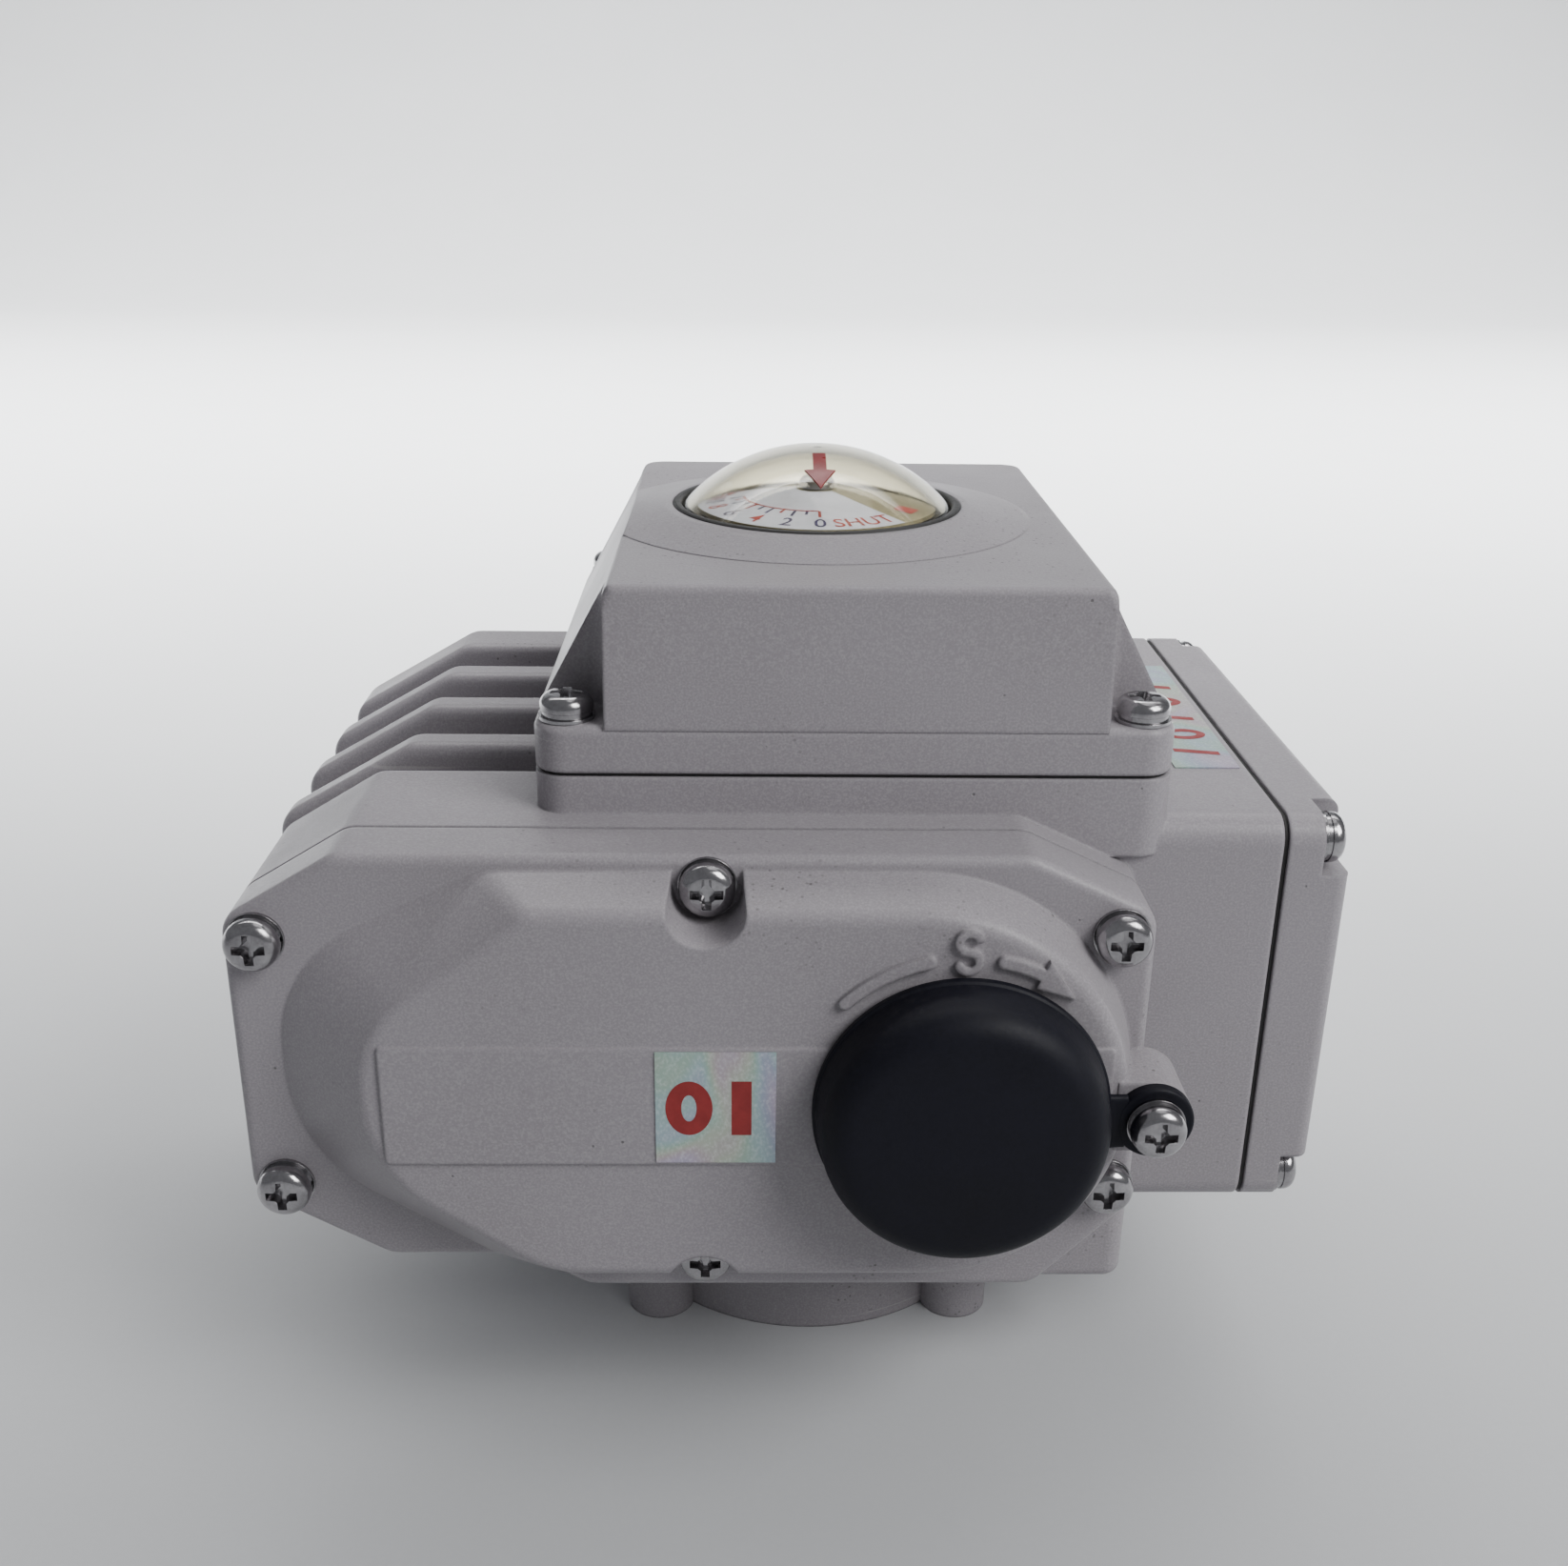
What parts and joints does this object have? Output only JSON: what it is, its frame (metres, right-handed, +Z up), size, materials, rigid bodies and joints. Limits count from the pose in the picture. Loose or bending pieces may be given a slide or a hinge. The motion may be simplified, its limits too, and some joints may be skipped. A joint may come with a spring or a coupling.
{
  "type": "valve actuator",
  "caption": "Motorised quarter-turn valve actuator: finned cast body, wiring box, domed position indicator, capped manual drive and square output socket.",
  "frame": {"origin": "centre of the output axis on the valve mounting face", "axes": "+Z up along the output axis, +X towards the wiring box, -Y towards the gear cover"},
  "size_m": [0.1583, 0.1426, 0.1406],
  "materials": {
    "paint": "satin powder coat",
    "zinc": "bright nickel plate",
    "cap_rubber": "matt",
    "seal_rubber": "matt",
    "clear": "clear polycarbonate",
    "dial_white": "printed white",
    "red": "red",
    "label_film": "silver film",
    "steel": "machined",
    "gear_steel": "cut and oiled",
    "bronze": "machined",
    "lamination": "stacked sheet",
    "copper": "enamelled wire",
    "alloy": "as cast",
    "black_plastic": "matt",
    "nylon": "natural",
    "spring_steel": "rolled",
    "terminal_green": "moulded",
    "brass": "nickelled"
  },
  "bodies": {
    "case_body": {"housing": "paint", "front_cover": "paint", "top_cover": "paint", "terminal_cover": "paint", "cover_screws": "zinc", "flat_washers": "zinc", "spring_washers": "zinc", "cap_strap": "cap_rubber", "front_gasket": "seal_rubber", "top_gasket": "seal_rubber", "terminal_gasket": "seal_rubber", "dome_seal": "seal_rubber", "worm_seal": "seal_rubber", "gland_seals": "seal_rubber", "dome": "clear", "index_arrow": "red", "labels": "label_film", "gear_plate": "steel", "plate_screws": "steel", "steel_pins": "steel", "pin_clips": "steel", "bearing_plate": "steel", "dome_clamp_screws": "steel", "ball_bearings": "steel", "motor_tie_bolts": "steel", "switch_screws": "steel", "output_bushes": "bronze", "motor_stator": "lamination", "motor_coils": "copper", "motor_end_bells": "alloy", "dome_clamp_ring": "alloy", "limit_switches": "black_plastic", "position_sensor": "black_plastic", "run_capacitor": "black_plastic", "switch_bracket": "spring_steel", "terminal_block": "terminal_green", "terminal_screws": "brass", "gland_bodies": "brass", "gland_nuts": "brass"},
    "output_body": {"output_shaft": "steel", "output_seal": "seal_rubber", "stop_arm": "steel", "worm_wheel": "bronze", "shut_cam": "nylon", "open_cam": "nylon", "stem_gear": "gear_steel", "dial_hub": "black_plastic", "indicator_dial": "dial_white", "dial_screw": "steel"},
    "worm_body": {"worm_shaft": "steel", "worm_gear": "gear_steel", "worm_gear_pin": "steel"},
    "second_gear_body": {"second_gear": "gear_steel"},
    "first_gear_body": {"first_gear": "gear_steel"},
    "rotor_body": {"motor_rotor": "lamination", "motor_shaft": "steel"},
    "sensor_gear_body": {"sensor_gear": "nylon"},
    "cap_body": {"manual_cap": "cap_rubber"},
    "shut_lever_body": {"shut_switch_lever": "spring_steel"},
    "open_lever_body": {"open_switch_lever": "spring_steel"}
  },
  "joints": [
    {"name": "output_turn", "type": "hinge", "parent": "case_body", "child": "output_body", "pos_m": [0, 0, 0.066], "axis": [0, 0, 1], "range_deg": [0, 90]},
    {"name": "worm_turn", "type": "hinge", "parent": "case_body", "child": "worm_body", "pos_m": [0.0178, 0, 0.066], "axis": [0, 1, 0], "range_deg": [-3240, 0]},
    {"name": "second_gear_turn", "type": "hinge", "parent": "case_body", "child": "second_gear_body", "pos_m": [-0.007, -0.052, 0.066], "axis": [0, 1, 0], "range_deg": [0, 13500]},
    {"name": "first_gear_turn", "type": "hinge", "parent": "case_body", "child": "first_gear_body", "pos_m": [-0.0303, -0.048, 0.05752], "axis": [0, 1, 0], "range_deg": [-56250, 0]},
    {"name": "motor_turn", "type": "hinge", "parent": "case_body", "child": "rotor_body", "pos_m": [-0.05361, 0, 0.066], "axis": [0, 1, 0], "range_deg": [0, 234375]},
    {"name": "sensor_turn", "type": "hinge", "parent": "case_body", "child": "sensor_gear_body", "pos_m": [-0.00766, -0.02105, 0.09], "axis": [0, 0, 1], "range_deg": [-162, 0]},
    {"name": "cap_swing", "type": "hinge", "parent": "case_body", "child": "cap_body", "pos_m": [0.038, -0.0744, 0.0644], "axis": [0, 0, 1], "range_deg": [0, 95]},
    {"name": "shut_lever_press", "type": "hinge", "parent": "case_body", "child": "shut_lever_body", "pos_m": [-0.0102, 0.018, 0.095], "axis": [0, 0, 1], "range_deg": [0, 4], "stiffness_Nm_per_rad": 0.02},
    {"name": "open_lever_press", "type": "hinge", "parent": "case_body", "child": "open_lever_body", "pos_m": [-0.0102, 0.018, 0.1016], "axis": [0, 0, 1], "range_deg": [0, 4], "stiffness_Nm_per_rad": 0.02}
  ],
  "couplings": [
    {"joint": "worm_turn", "follows": "output_turn", "ratio": -36},
    {"joint": "second_gear_turn", "follows": "output_turn", "ratio": 150},
    {"joint": "first_gear_turn", "follows": "output_turn", "ratio": -625},
    {"joint": "motor_turn", "follows": "output_turn", "ratio": 2604.2},
    {"joint": "sensor_turn", "follows": "output_turn", "ratio": -1.8}
  ]
}
